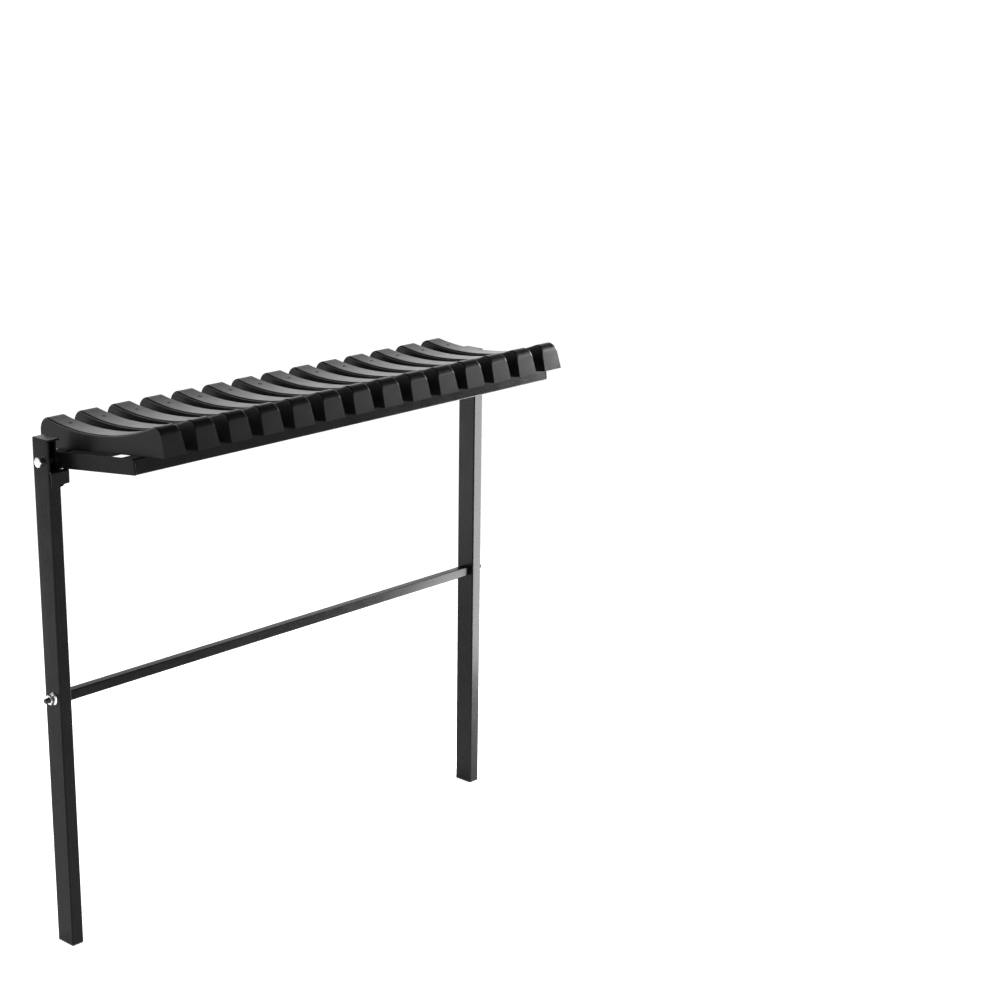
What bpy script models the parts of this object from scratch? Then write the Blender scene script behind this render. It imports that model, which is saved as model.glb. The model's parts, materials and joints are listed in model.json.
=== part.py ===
"""A slatted fold-over bench seat carried between two upright posts.

The seat turns on two pivot bolts near the post tops. At rest it slopes up a little towards its front
edge and its side arms lie on two stop brackets. It turns up and over the posts and then hangs down
between them. X runs along the bench, -Y is the front, +Z is up, and the origin is on the ground halfway
between the posts. Lengths are in metres.
"""

import math

import bmesh
import bpy
from mathutils import Matrix

# Fit between pieces that touch, how far a cutter runs past what it cuts, and the shading crease angle.
GAP = 0.0003
OVERCUT = 0.002
CREASE = math.radians(35)

# Posts: rectangular tube, wider front to back than across.
BENCH_LENGTH = 0.880
POST_WIDTH = 0.020
POST_DEPTH = 0.035
POST_WALL = 0.002
POST_CORNER = 0.002
POST_TOP = 0.757
TOP_PLATE = 0.0027
TOP_PLATE_LIP = 0.0015
TOP_PLATE_ROUND = 0.0012
TOP_PLATE_STEPS = 3
FOOT_RIM = 0.002
FOOT_STEM = 0.022
FOOT_STEM_CORNER = 0.001
FOOT_STEM_TAPER = 0.003
OUTER_X = BENCH_LENGTH / 2
INNER_X = OUTER_X - POST_WIDTH
POST_X = OUTER_X - POST_WIDTH / 2
BOLT_HOLE = 0.0043

# The post's front is cut open at the top, on the side facing the seat.
NOTCH_FLOOR = 0.7177
NOTCH_STRIP = 0.003
NOTCH_DEPTH = 0.007

# Stop bracket: a folded plate in front of each post, with a shelf under the arm.
STOP_OUTER = 0.0
STOP_INNER = 0.030
STOP_BOTTOM = 0.6970
STOP_TOP = 0.7167
STOP_SHEET = 0.003
STOP_FRONT = -0.0240
STOP_REAR = -(POST_DEPTH / 2 + GAP)
STOP_ROUND = 0.002
STOP_INNER_BEND = 0.0006

# Crossbar: square tube between the posts, clamped by a stud and flange nut at each end.
BAR_SIZE = 0.015
BAR_WALL = 0.0015
BAR_CORNER = 0.0018
BAR_Y = -0.002
BAR_Z = 0.3825
INSERT_LENGTH = 0.022
STUD_OUT = 0.0155
STUD_IN = 0.019

# M8 fasteners.
M8_RADIUS = 0.004
M8_BORE = M8_RADIUS + 0.00015
M8_LOOSE_BORE = M8_RADIUS + 0.0002
THREAD_CHAMFER = 0.0008
M8_FLATS = 0.013
HEAD_HEIGHT = 0.0053
NUT_HEIGHT = 0.0065
PLAIN_NUT = 0.0068
BOLT_PAST_NUT = 0.0015
FLANGE_RADIUS = 0.0088
FLANGE_THICK = 0.0018
FLANGE_CONE = 0.0008
HEX_BREAK = 0.0007
BORE_BREAK = 0.0004
ROUND_STEPS = 24

# Seat pivot, and the seat's own frame tilted up at the front about it.
PIVOT_Y = 0.0
PIVOT_Z = 0.7272
SEAT_TILT = math.radians(6.65)
ARM_THICK = 0.004
ARM_OUTER_X = INNER_X - 0.003
ARM_INNER_X = ARM_OUTER_X - ARM_THICK
FRAME_BOTTOM = -0.0122
FRAME_TOP = 0.0103
FRAME_REAR = -0.0160
FRAME_FRONT = 0.1749
ARM_NOSE = 0.0015
ARM_HEEL = 0.004
LUG_RADIUS = 0.0175
BEAM_DEPTH = 0.030
BEAM_WALL = 0.0015
BEAM_CORNER = 0.002
NUT_ROOM = 0.015
NUT_ROOM_FRONT = 0.0103
NUT_ROOM_TOP = 0.0086
BUSH_RADIUS = 0.0057
BUSH_PLAY = 0.0001
SPACER_RADIUS = 0.010
SPACER_THICK = 0.0024
WASHER_RADIUS = 0.008
WASHER_THICK = 0.0012
SLEEVE_RADIUS = 0.0061

# Slats: inverted channel mouldings running front to back, dished along the top.
SLATS = 14
SLAT_ROW = 0.800
SLAT_FOOT_WIDTH = 0.038
SLAT_TOP_WIDTH = 0.0325
SLAT_REAR = -0.0491
SLAT_FRONT = 0.2199
SLAT_BOTTOM = FRAME_TOP + GAP
SLAT_WALL = 0.0030
SLAT_EDGE = 0.003
EDGE_MID = 0.3
REAR_CREST = 0.0528
FRONT_CREST = 0.0512
DISH_LOW = 0.0347
DISH_LOW_AT = 0.0959
REAR_DISH_POWER = 2.25
FRONT_DISH_POWER = 1.9
REAR_ROUND = 0.014
FRONT_ROUND = 0.015
REAR_CREST_AT = SLAT_REAR + REAR_ROUND

# The front face leans back by this angle and runs on into the rounding of the front crest.
FRONT_LEAN = math.radians(9)
FRONT_CROWN = FRONT_CREST - FRONT_ROUND
FRONT_REACH = FRONT_ROUND + (FRONT_CROWN - SLAT_BOTTOM) * math.sin(FRONT_LEAN)
FRONT_CREST_AT = SLAT_FRONT - FRONT_REACH / math.cos(FRONT_LEAN)
OUTSIDE_STEPS = (3, 8)
INSIDE_STEPS = (1, 5)
BOSS_RADIUS = 0.0065
SCREW_RADIUS = 0.0015
SCREW_HEAD_RADIUS = 0.0026
SCREW_CROWN_RADIUS = 0.0017
SCREW_HEAD = 0.0018
SCREW_SINK = 0.0020
SCREW_TIP = 0.0038
STRIP_WIDTH = 0.012
STRIP_THICK = 0.003
SCREW_ROWS = {"rear": FRAME_REAR + BEAM_DEPTH / 2, "front": FRAME_FRONT - BEAM_DEPTH / 2}
SCREW_STEPS = 8

FINISHES = {
    "powder": ((0.028, 0.028, 0.030, 1.0), 0.42, 0.0),
    "plastic": ((0.022, 0.022, 0.023, 1.0), 0.30, 0.0),
    "zinc": ((0.78, 0.79, 0.78, 1.0), 0.32, 1.0),
    "nylon": ((0.030, 0.030, 0.030, 1.0), 0.50, 0.0),
    "thread": ((0.10, 0.10, 0.11, 1.0), 0.45, 0.8),
}


def clear_scene():
    for obj in list(bpy.data.objects):
        bpy.data.objects.remove(obj, do_unlink=True)


def finish(name, kind):
    colour, roughness, metallic = FINISHES[kind]
    material = bpy.data.materials.new(f"{name}_{kind}")
    material.use_nodes = True
    shader = material.node_tree.nodes["Principled BSDF"]
    shader.inputs["Base Color"].default_value = colour
    shader.inputs["Roughness"].default_value = roughness
    shader.inputs["Metallic"].default_value = metallic
    material.diffuse_color = colour
    return material


def place(name, mesh, kind, parent=None, location=(0, 0, 0)):
    obj = bpy.data.objects.new(name, mesh)
    bpy.context.scene.collection.objects.link(obj)
    obj.parent = parent
    obj.location = location
    if not mesh.materials:
        mesh.materials.append(finish(name, kind))
    return obj


def mesh_from(name, bm):
    bmesh.ops.recalc_face_normals(bm, faces=bm.faces[:])
    mesh = bpy.data.meshes.new(name)
    bm.to_mesh(mesh)
    bm.free()
    mesh.shade_smooth()
    mesh.set_sharp_from_angle(angle=CREASE)
    return mesh


def cutter(name, mesh, parent=None, location=(0, 0, 0)):
    obj = bpy.data.objects.new(name, mesh)
    bpy.context.scene.collection.objects.link(obj)
    obj.parent = parent
    obj.location = location
    obj.hide_render = True
    obj.display_type = "WIRE"
    return obj


def cut(obj, tool, operation="DIFFERENCE"):
    modifier = obj.modifiers.new(f"cut_{tool.name}", "BOOLEAN")
    modifier.operation = operation
    modifier.solver = "EXACT"
    modifier.object = tool


def add_loft(bm, rings, closed_loop=False):
    """Skins a row of equal-length rings. closed_loop joins the last ring to the first, as for a tube wall."""
    rows = [[bm.verts.new(point) for point in ring] for ring in rings]
    count = len(rows[0])
    pairs = list(zip(rows, rows[1:]))
    if closed_loop:
        pairs.append((rows[-1], rows[0]))
    for low, high in pairs:
        for i in range(count):
            j = (i + 1) % count
            bm.faces.new((low[i], low[j], high[j], high[i]))
    if not closed_loop:
        bm.faces.new(rows[0])
        bm.faces.new(rows[-1])


def loft(name, rings, closed_loop=False):
    bm = bmesh.new()
    add_loft(bm, rings, closed_loop)
    return mesh_from(name, bm)


def rounded_rect(width, depth, radius, steps=3):
    """Corner-rounded rectangle about the origin, anticlockwise."""
    points = []
    corners = ((1, 1, 0), (-1, 1, 90), (-1, -1, 180), (1, -1, 270))
    for sx, sy, start in corners:
        cx = sx * (width / 2 - radius)
        cy = sy * (depth / 2 - radius)
        for i in range(steps + 1):
            angle = math.radians(start + 90 * i / steps)
            points.append((cx + radius * math.cos(angle), cy + radius * math.sin(angle)))
    return points


def rect_tube(name, axis, width, depth, wall, radius, low, high):
    """Open-ended rounded rectangular tube along X or Z, from low to high on its axis."""
    outer = rounded_rect(width, depth, radius)
    inner = rounded_rect(width - 2 * wall, depth - 2 * wall, max(radius - wall, 0.0008))

    def ring(points, at):
        if axis == "Z":
            return [(a, b, at) for a, b in points]
        return [(at, a, b) for a, b in points]

    rings = [ring(outer, low), ring(outer, high), ring(inner, high), ring(inner, low)]
    return loft(name, rings, closed_loop=True)


def circle_ring(radius, x, steps=ROUND_STEPS):
    angles = [2 * math.pi * i / steps for i in range(steps)]
    return [(x, radius * math.cos(a), radius * math.sin(a)) for a in angles]


def hex_ring(flats, x, steps=ROUND_STEPS):
    """A hexagon about the X axis, sampled so that its corners fall on sample points."""
    points = []
    for i in range(steps):
        angle = 2 * math.pi * i / steps
        off_flat = (angle % (math.pi / 3)) - math.pi / 6
        radius = flats / 2 / math.cos(off_flat)
        points.append((x, radius * math.cos(angle), radius * math.sin(angle)))
    return points


def ring_part(name, inner, outer, low, high, steps=ROUND_STEPS):
    """Plain washer or sleeve about the X axis."""
    rings = [
        circle_ring(inner, low, steps),
        circle_ring(outer, low, steps),
        circle_ring(outer, high, steps),
        circle_ring(inner, high, steps),
    ]
    return loft(name, rings, closed_loop=True)


def cylinder_x(name, radius, low, high, steps=ROUND_STEPS):
    return loft(name, [circle_ring(radius, low, steps), circle_ring(radius, high, steps)])


def outline_plate(name, outline, low, high):
    """Extrudes a (y, z) outline along X from low to high."""
    rings = [[(x, y, z) for y, z in outline] for x in (low, high)]
    return loft(name, rings)


def arc(cx, cy, radius, start, end, steps):
    points = []
    for i in range(steps + 1):
        angle = math.radians(start + (end - start) * i / steps)
        points.append((cx + radius * math.cos(angle), cy + radius * math.sin(angle)))
    return points


def make_post(tag, side):
    x = side * POST_X
    low = FOOT_RIM + GAP
    mesh = rect_tube(f"{tag}_post", "Z", POST_WIDTH, POST_DEPTH, POST_WALL, POST_CORNER, low, POST_TOP)
    post = place(f"{tag}_post", mesh, "powder", location=(x, 0, 0))

    # Front opening near the top: a thin strip of the front wall is left on the outer side.
    strip_x = side * (POST_WIDTH / 2 - NOTCH_STRIP)
    clear_x = -side * (POST_WIDTH / 2 + OVERCUT)
    profile = [
        (clear_x, NOTCH_FLOOR),
        (strip_x, NOTCH_FLOOR),
        (strip_x, POST_TOP + OVERCUT),
        (clear_x, POST_TOP + OVERCUT),
    ]
    front = -POST_DEPTH / 2
    rings = [[(px, y, pz) for px, pz in profile] for y in (front - OVERCUT, front + NOTCH_DEPTH)]
    cut(post, cutter(f"{tag}_notch_cutter", loft("notch", rings), location=(x, 0, 0)))

    reach = POST_WIDTH
    for kind, y, z in (("pivot", PIVOT_Y, PIVOT_Z), ("bar", BAR_Y, BAR_Z)):
        hole = cylinder_x("hole", BOLT_HOLE, -reach, reach)
        cut(post, cutter(f"{tag}_{kind}_hole_cutter", hole, location=(x, y, z)))


def make_top_plate(tag, side):
    """Cover plate with a rounded top edge, flush outside and a little proud on the seat side."""
    width = POST_WIDTH + TOP_PLATE_LIP
    low = POST_TOP + GAP
    top = low + TOP_PLATE
    rings = [[(a, b, low) for a, b in rounded_rect(width, POST_DEPTH, POST_CORNER)]]
    for i in range(TOP_PLATE_STEPS + 1):
        angle = math.pi / 2 * i / TOP_PLATE_STEPS
        inset = TOP_PLATE_ROUND * (1 - math.cos(angle))
        height = top - TOP_PLATE_ROUND * (1 - math.sin(angle))
        outline = rounded_rect(width - 2 * inset, POST_DEPTH - 2 * inset, POST_CORNER - inset)
        rings.append([(a, b, height) for a, b in outline])
    x = side * (POST_X - TOP_PLATE_LIP / 2)
    place(f"{tag}_top_plate", loft("top_plate", rings), "powder", location=(x, 0, 0))


def make_foot_plug(tag, side):
    rim = rounded_rect(POST_WIDTH, POST_DEPTH, POST_CORNER)
    hollow = POST_WALL + GAP
    width = POST_WIDTH - 2 * hollow
    depth = POST_DEPTH - 2 * hollow
    narrower = 2 * FOOT_STEM_CORNER
    stem = rounded_rect(width, depth, FOOT_STEM_CORNER)
    tip = rounded_rect(width - narrower, depth - narrower, FOOT_STEM_CORNER)
    rings = [
        [(a, b, 0.0) for a, b in rim],
        [(a, b, FOOT_RIM) for a, b in rim],
        [(a, b, FOOT_RIM) for a, b in stem],
        [(a, b, FOOT_STEM - FOOT_STEM_TAPER) for a, b in stem],
        [(a, b, FOOT_STEM) for a, b in tip],
    ]
    place(f"{tag}_foot_plug", loft("foot_plug", rings), "plastic", location=(side * POST_X, 0, 0))


def make_stop_bracket(tag, side):
    back = STOP_FRONT + STOP_SHEET
    under = STOP_TOP - STOP_SHEET
    profile = [(STOP_REAR, STOP_TOP)]
    profile += arc(back, under, STOP_SHEET, 90, 180, 4)
    profile += [(STOP_FRONT, STOP_BOTTOM), (back, STOP_BOTTOM)]
    profile += [(back, under - STOP_INNER_BEND), (back + STOP_INNER_BEND, under), (STOP_REAR, under)]
    low, high = sorted(side * (OUTER_X - reach) for reach in (STOP_OUTER, STOP_INNER))
    bracket = place(f"{tag}_stop_bracket", outline_plate("stop_bracket", profile, low, high), "powder")

    # Rounds the lower corner on the seat side.
    inner_x = side * (OUTER_X - STOP_INNER)
    centre_x = inner_x + side * STOP_ROUND
    centre_z = STOP_BOTTOM + STOP_ROUND
    start = 180 if side > 0 else 360
    clear_x = inner_x - side * OVERCUT
    clear_z = STOP_BOTTOM - OVERCUT
    corner = arc(centre_x, centre_z, STOP_ROUND, start, 270, 5)
    corner += [(centre_x, clear_z), (clear_x, clear_z), (clear_x, centre_z)]
    rings = [[(px, y, pz) for px, pz in corner] for y in (STOP_FRONT - OVERCUT, back + OVERCUT)]
    cut(bracket, cutter(f"{tag}_stop_corner_cutter", loft("stop_corner", rings)))


def make_crossbar():
    reach = INNER_X - GAP
    mesh = rect_tube("crossbar", "X", BAR_SIZE, BAR_SIZE, BAR_WALL, BAR_CORNER, -reach, reach)
    place("crossbar", mesh, "powder", location=(0, BAR_Y, BAR_Z))


def make_bar_fixings(tag, side):
    """Threaded insert in the crossbar end, the stud through the post, and its flange nut."""
    at = (0, BAR_Y, BAR_Z)
    size = BAR_SIZE - 2 * BAR_WALL - 2 * GAP
    end = INNER_X - 2 * GAP
    low, high = sorted((side * (end - INSERT_LENGTH), side * end))
    square = [square_ring(size, x) for x in (low, high)]
    bore = [circle_ring(M8_BORE, x) for x in (high, low)]
    insert = loft("insert", square + bore, closed_loop=True)
    place(f"{tag}_bar_insert", insert, "zinc", location=at)

    inner = side * (INNER_X - STUD_IN)
    outer = side * (OUTER_X + STUD_OUT)
    stud = [
        circle_ring(M8_RADIUS - THREAD_CHAMFER, inner),
        circle_ring(M8_RADIUS, inner + side * THREAD_CHAMFER),
        circle_ring(M8_RADIUS, outer - side * THREAD_CHAMFER),
        circle_ring(M8_RADIUS - THREAD_CHAMFER, outer),
    ]
    place(f"{tag}_bar_stud", loft("bar_stud", stud), "thread", location=at)

    seat = side * (OUTER_X + GAP)
    place(f"{tag}_bar_nut", flange_nut("bar_nut", seat, side), "zinc", location=at)


def square_ring(size, x, steps=ROUND_STEPS):
    """A square about the X axis, sampled like circle_ring so that the two can be bridged."""
    points = []
    for i in range(steps):
        angle = 2 * math.pi * i / steps
        off_flat = (angle + math.pi / 4) % (math.pi / 2) - math.pi / 4
        radius = size / 2 / math.cos(off_flat)
        points.append((x, radius * math.cos(angle), radius * math.sin(angle)))
    return points


def flange_nut(name, seat, side):
    """Hexagon nut with a round flange, its bearing face at seat and its body towards side."""
    body = seat + side * (FLANGE_THICK + FLANGE_CONE)
    top = seat + side * (FLANGE_THICK + NUT_HEIGHT)
    rings = [
        circle_ring(M8_BORE, seat),
        circle_ring(FLANGE_RADIUS, seat),
        circle_ring(FLANGE_RADIUS, seat + side * FLANGE_THICK / 2),
        hex_ring(M8_FLATS, body),
        hex_ring(M8_FLATS, top - side * HEX_BREAK),
        hex_ring(M8_FLATS - 2 * HEX_BREAK, top),
        circle_ring(M8_BORE + BORE_BREAK, top),
        circle_ring(M8_BORE, top - side * BORE_BREAK),
    ]
    return loft(name, rings, closed_loop=True)


def hex_bolt(name, seat, length, side):
    """Hexagon-head bolt: head outward of seat, shank of the given length running inward."""
    face = seat + side * HEAD_HEIGHT
    tip = seat - side * length
    rings = [
        circle_ring(M8_FLATS / 2 - HEX_BREAK / 2, face),
        hex_ring(M8_FLATS, face - side * HEX_BREAK),
        hex_ring(M8_FLATS, seat),
        circle_ring(M8_RADIUS, seat),
        circle_ring(M8_RADIUS, tip + side * THREAD_CHAMFER),
        circle_ring(M8_RADIUS - THREAD_CHAMFER, tip),
    ]
    return loft(name, rings)


def make_pivot(tag, side, seat_axis):
    """Bolt through the post, sleeve inside it, spacer, arm bush, washer and nut."""
    at = (0, PIVOT_Y, PIVOT_Z)
    seat = side * (OUTER_X + GAP)

    wall_in = INNER_X + POST_WALL + GAP
    wall_out = OUTER_X - POST_WALL - GAP
    sleeve = ring_part("sleeve", M8_LOOSE_BORE, SLEEVE_RADIUS, side * wall_in, side * wall_out)
    place(f"{tag}_pivot_sleeve", sleeve, "thread", location=at)

    spacer_out = INNER_X - GAP
    spacer_in = spacer_out - SPACER_THICK
    spacer = ring_part("spacer", M8_LOOSE_BORE, SPACER_RADIUS, side * spacer_in, side * spacer_out)
    place(f"{tag}_pivot_spacer", spacer, "nylon", location=at)

    washer_out = ARM_INNER_X - GAP
    washer_in = washer_out - WASHER_THICK
    ends = (side * washer_in, side * washer_out)
    washer = ring_part("washer", M8_LOOSE_BORE, WASHER_RADIUS, *ends)
    place(f"{tag}_pivot_washer", washer, "zinc", location=at)

    nut_seat = washer_in - GAP
    nut_top = nut_seat - PLAIN_NUT
    rings = [
        circle_ring(M8_BORE, side * nut_seat),
        hex_ring(M8_FLATS - 2 * HEX_BREAK, side * nut_seat),
        hex_ring(M8_FLATS, side * (nut_seat - HEX_BREAK)),
        hex_ring(M8_FLATS, side * (nut_top + HEX_BREAK)),
        hex_ring(M8_FLATS - 2 * HEX_BREAK, side * nut_top),
        circle_ring(M8_BORE, side * nut_top),
    ]
    place(f"{tag}_pivot_nut", loft("pivot_nut", rings, closed_loop=True), "zinc", location=at)

    length = OUTER_X + GAP - (nut_top - BOLT_PAST_NUT)
    place(f"{tag}_pivot_bolt", hex_bolt("pivot_bolt", seat, length, side), "zinc", location=at)

    ends = (side * ARM_INNER_X, side * ARM_OUTER_X)
    bush = ring_part("bush", M8_RADIUS + BUSH_PLAY, BUSH_RADIUS, *ends)
    place(f"{tag}_pivot_bush", bush, "nylon", parent=seat_axis)


def make_arm(tag, side, seat_axis):
    """Flat side arm with a round lug about the pivot. The seat frame's front is local -Y."""
    lug_start = math.degrees(math.asin(FRAME_BOTTOM / LUG_RADIUS))
    lug = arc(0, 0, LUG_RADIUS, 180 - lug_start, 375, 12)
    heel = arc(-FRAME_REAR - ARM_HEEL, FRAME_TOP - ARM_HEEL, ARM_HEEL, 0, 90, 4)
    outline = heel + [
        (-FRAME_FRONT + ARM_NOSE, FRAME_TOP),
        (-FRAME_FRONT, FRAME_TOP - ARM_NOSE),
        (-FRAME_FRONT, FRAME_BOTTOM + ARM_NOSE),
        (-FRAME_FRONT + ARM_NOSE, FRAME_BOTTOM),
    ] + lug
    low, high = sorted((side * ARM_INNER_X, side * ARM_OUTER_X))
    arm = place(f"{tag}_side_arm", outline_plate("side_arm", outline, low, high), "powder", parent=seat_axis)
    hole = cylinder_x("arm_hole", BUSH_RADIUS + GAP, low - OVERCUT, high + OVERCUT)
    cut(arm, cutter(f"{tag}_arm_hole_cutter", hole, parent=seat_axis))


def slat_centres():
    pitch = (SLAT_ROW - SLAT_FOOT_WIDTH) / (SLATS - 1)
    return [-(SLAT_ROW - SLAT_FOOT_WIDTH) / 2 + pitch * i for i in range(SLATS)]


def make_beam(tag, rear_edge, screw_at, seat_axis):
    """Cross beam of the seat frame, drilled in its top wall for one screw per slat."""
    reach = ARM_INNER_X - GAP
    height = FRAME_TOP - FRAME_BOTTOM
    mesh = rect_tube(f"{tag}_beam", "X", BEAM_DEPTH, height, BEAM_WALL, BEAM_CORNER, -reach, reach)
    mid_y = -(rear_edge + BEAM_DEPTH / 2)
    mid_z = (FRAME_TOP + FRAME_BOTTOM) / 2
    beam = place(f"{tag}_beam", mesh, "powder", parent=seat_axis, location=(0, mid_y, mid_z))

    bm = bmesh.new()
    radius = SCREW_RADIUS + GAP
    for x in slat_centres():
        rings = []
        for z in (FRAME_TOP - BEAM_WALL - OVERCUT, FRAME_TOP + OVERCUT):
            rings.append([(x + a, b, c) for a, b, c in column_ring(radius, screw_at, z)])
        add_loft(bm, rings)
    cut(beam, cutter(f"{tag}_beam_drill_cutter", mesh_from("drill", bm), parent=seat_axis))
    return beam


def notch_rear_beam(beam, seat_axis):
    """Each end is cut away under and behind the pivot nut."""
    for tag, side in (("left", -1), ("right", 1)):
        low, high = sorted((side * (ARM_INNER_X - NUT_ROOM), side * (ARM_INNER_X + OVERCUT)))
        back, front = -FRAME_REAR + OVERCUT, -NUT_ROOM_FRONT
        bottom, top = FRAME_BOTTOM - OVERCUT, NUT_ROOM_TOP
        profile = [(back, bottom), (back, top), (front, top), (front, bottom)]
        mesh = outline_plate("nut_room", profile, low, high)
        cut(beam, cutter(f"{tag}_nut_room_cutter", mesh, parent=seat_axis))


def dish_height(f):
    """Height of the slat's top between its two crests: a shallow hollow, deeper cut at the back."""
    if f < DISH_LOW_AT:
        share = (DISH_LOW_AT - f) / (DISH_LOW_AT - REAR_CREST_AT)
        return DISH_LOW + (REAR_CREST - DISH_LOW) * share**REAR_DISH_POWER
    share = (f - DISH_LOW_AT) / (FRONT_CREST_AT - DISH_LOW_AT)
    return DISH_LOW + (FRONT_CREST - DISH_LOW) * share**FRONT_DISH_POWER


def slat_stations(inset, round_steps, dish_steps):
    """(top position, top height, foot position) from the rear end to the front, moved in by the inset."""
    stations = []
    rear_radius = REAR_ROUND - inset
    for i in range(round_steps + 1):
        angle = math.radians(180 - 90 * i / round_steps)
        f = REAR_CREST_AT + rear_radius * math.cos(angle)
        stations.append((f, REAR_CREST - REAR_ROUND + rear_radius * math.sin(angle), f))
    for i in range(1, dish_steps):
        f = REAR_CREST_AT + (FRONT_CREST_AT - REAR_CREST_AT) * i / dish_steps
        stations.append((f, dish_height(f) - inset, f))
    front_radius = FRONT_ROUND - inset
    foot_end = SLAT_FRONT - inset / math.cos(FRONT_LEAN)
    turn = math.pi / 2 - FRONT_LEAN
    for i in range(round_steps + 1):
        angle = math.pi / 2 - turn * i / round_steps
        f = FRONT_CREST_AT + front_radius * math.cos(angle)
        foot = FRONT_CREST_AT + (foot_end - FRONT_CREST_AT) * i / round_steps
        stations.append((f, FRONT_CROWN + front_radius * math.sin(angle), foot))
    return stations


def slat_section(station, foot, inset, edge):
    """One cross-section ring: drafted sides, rounded top edges, leaning from its foot to its top."""
    f_top, top, f_foot = station
    height = top - SLAT_BOTTOM
    half_foot = SLAT_FOOT_WIDTH / 2 - inset
    draft = (SLAT_FOOT_WIDTH - SLAT_TOP_WIDTH) / 2 / (REAR_CREST - SLAT_BOTTOM)
    half_top = half_foot - draft * height
    side = [(half_foot, foot), (half_top, top - edge)]
    if edge > 0:
        mid = edge * EDGE_MID
        side += [(half_top - mid, top - mid), (half_top - edge, top)]
    left = [(-x, z) for x, z in reversed(side)]
    lean = (f_top - f_foot) / height
    return [(x, -(f_foot + lean * (z - SLAT_BOTTOM)), z) for x, z in side + left]


def slat_mesh():
    """The moulding every slat shares: a hollow shell with two screw bosses, cut once and then reused."""
    skin = slat_stations(0.0, *OUTSIDE_STEPS)
    lining = slat_stations(SLAT_WALL, *INSIDE_STEPS)
    outer = [slat_section(station, SLAT_BOTTOM, 0.0, SLAT_EDGE) for station in skin]
    hollow = [slat_section(station, SLAT_BOTTOM - OVERCUT, SLAT_WALL, 0.0) for station in lining]
    body = place("slat_pattern", loft("slat", outer), "plastic")
    cavity = cutter("slat_cavity_cutter", loft("slat_cavity", hollow))
    cut(body, cavity)

    bosses = bmesh.new()
    holes = bmesh.new()
    for at in SCREW_ROWS.values():
        top = dish_height(at)
        boss = [column_ring(BOSS_RADIUS, at, z) for z in (SLAT_BOTTOM, top + OVERCUT)]
        add_loft(bosses, boss)
        floor = top - SCREW_SINK
        wide = SCREW_HEAD_RADIUS + GAP
        narrow = SCREW_RADIUS + GAP
        low = SLAT_BOTTOM - OVERCUT
        high = top + OVERCUT
        steps = ((narrow, low), (narrow, floor), (wide, floor), (wide, high))
        add_loft(holes, [column_ring(radius, at, z) for radius, z in steps])
    cut(cavity, cutter("slat_boss_cutter", mesh_from("slat_bosses", bosses)))
    cut(body, cutter("slat_hole_cutter", mesh_from("slat_holes", holes)))

    bpy.context.view_layer.update()
    graph = bpy.context.evaluated_depsgraph_get()
    mesh = bpy.data.meshes.new_from_object(body.evaluated_get(graph))
    mesh.name = "slat"
    mesh.shade_smooth()
    mesh.set_sharp_from_angle(angle=CREASE)
    helpers = ("slat_pattern", "slat_cavity_cutter", "slat_boss_cutter", "slat_hole_cutter")
    for name in helpers:
        bpy.data.objects.remove(bpy.data.objects[name], do_unlink=True)
    return mesh


def column_ring(radius, at, z):
    return [(a, b - at, z) for _, a, b in circle_ring(radius, 0, SCREW_STEPS)]


def make_slats(seat_axis):
    mesh = slat_mesh()
    for number, x in enumerate(slat_centres(), start=1):
        place(f"slat_{number:02d}", mesh, "plastic", parent=seat_axis, location=(x, 0, 0))


def make_slat_screws(tag, at, seat_axis):
    """One round-head screw per slat, down through the boss into a tapped strip inside the beam."""
    top = FRAME_TOP - BEAM_WALL - GAP
    reach = slat_centres()[-1] + STRIP_WIDTH / 2
    front, back = -at - STRIP_WIDTH / 2, -at + STRIP_WIDTH / 2
    profile = [(front, top - STRIP_THICK), (back, top - STRIP_THICK), (back, top), (front, top)]
    mesh = outline_plate("screw_strip", profile, -reach, reach)
    strip = place(f"{tag}_slat_screws", mesh, "thread", parent=seat_axis)

    bm = bmesh.new()
    base = dish_height(at) - SCREW_SINK + GAP
    crown = base + SCREW_HEAD
    for x in slat_centres():
        steps = (
            (SCREW_RADIUS, SCREW_TIP),
            (SCREW_RADIUS, base),
            (SCREW_HEAD_RADIUS, base),
            (SCREW_HEAD_RADIUS, base + SCREW_HEAD / 2),
            (SCREW_CROWN_RADIUS, crown),
        )
        rings = [[(x + a, b, c) for a, b, c in column_ring(radius, at, z)] for radius, z in steps]
        add_loft(bm, rings)
    cut(strip, cutter(f"{tag}_screws_guide", mesh_from("slat_screws", bm), parent=seat_axis), "UNION")


def main():
    clear_scene()
    seat_axis = bpy.data.objects.new("seat_axis", None)
    bpy.context.scene.collection.objects.link(seat_axis)
    seat_axis.matrix_world = Matrix.Translation((0, PIVOT_Y, PIVOT_Z)) @ Matrix.Rotation(-SEAT_TILT, 4, "X")

    for tag, side in (("left", -1), ("right", 1)):
        make_post(tag, side)
        make_top_plate(tag, side)
        make_foot_plug(tag, side)
        make_stop_bracket(tag, side)
        make_bar_fixings(tag, side)
        make_pivot(tag, side, seat_axis)
        make_arm(tag, side, seat_axis)
    make_crossbar()

    make_beam("front", FRAME_FRONT - BEAM_DEPTH, SCREW_ROWS["front"], seat_axis)
    rear = make_beam("rear", FRAME_REAR, SCREW_ROWS["rear"], seat_axis)
    notch_rear_beam(rear, seat_axis)
    make_slats(seat_axis)
    for tag, at in SCREW_ROWS.items():
        make_slat_screws(tag, at, seat_axis)


main()
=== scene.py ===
"""Looks of the folding slatted bench seat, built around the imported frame. Lengths are in metres."""

import json
import math

import bmesh
import bpy
from mathutils import Matrix, Vector


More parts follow.
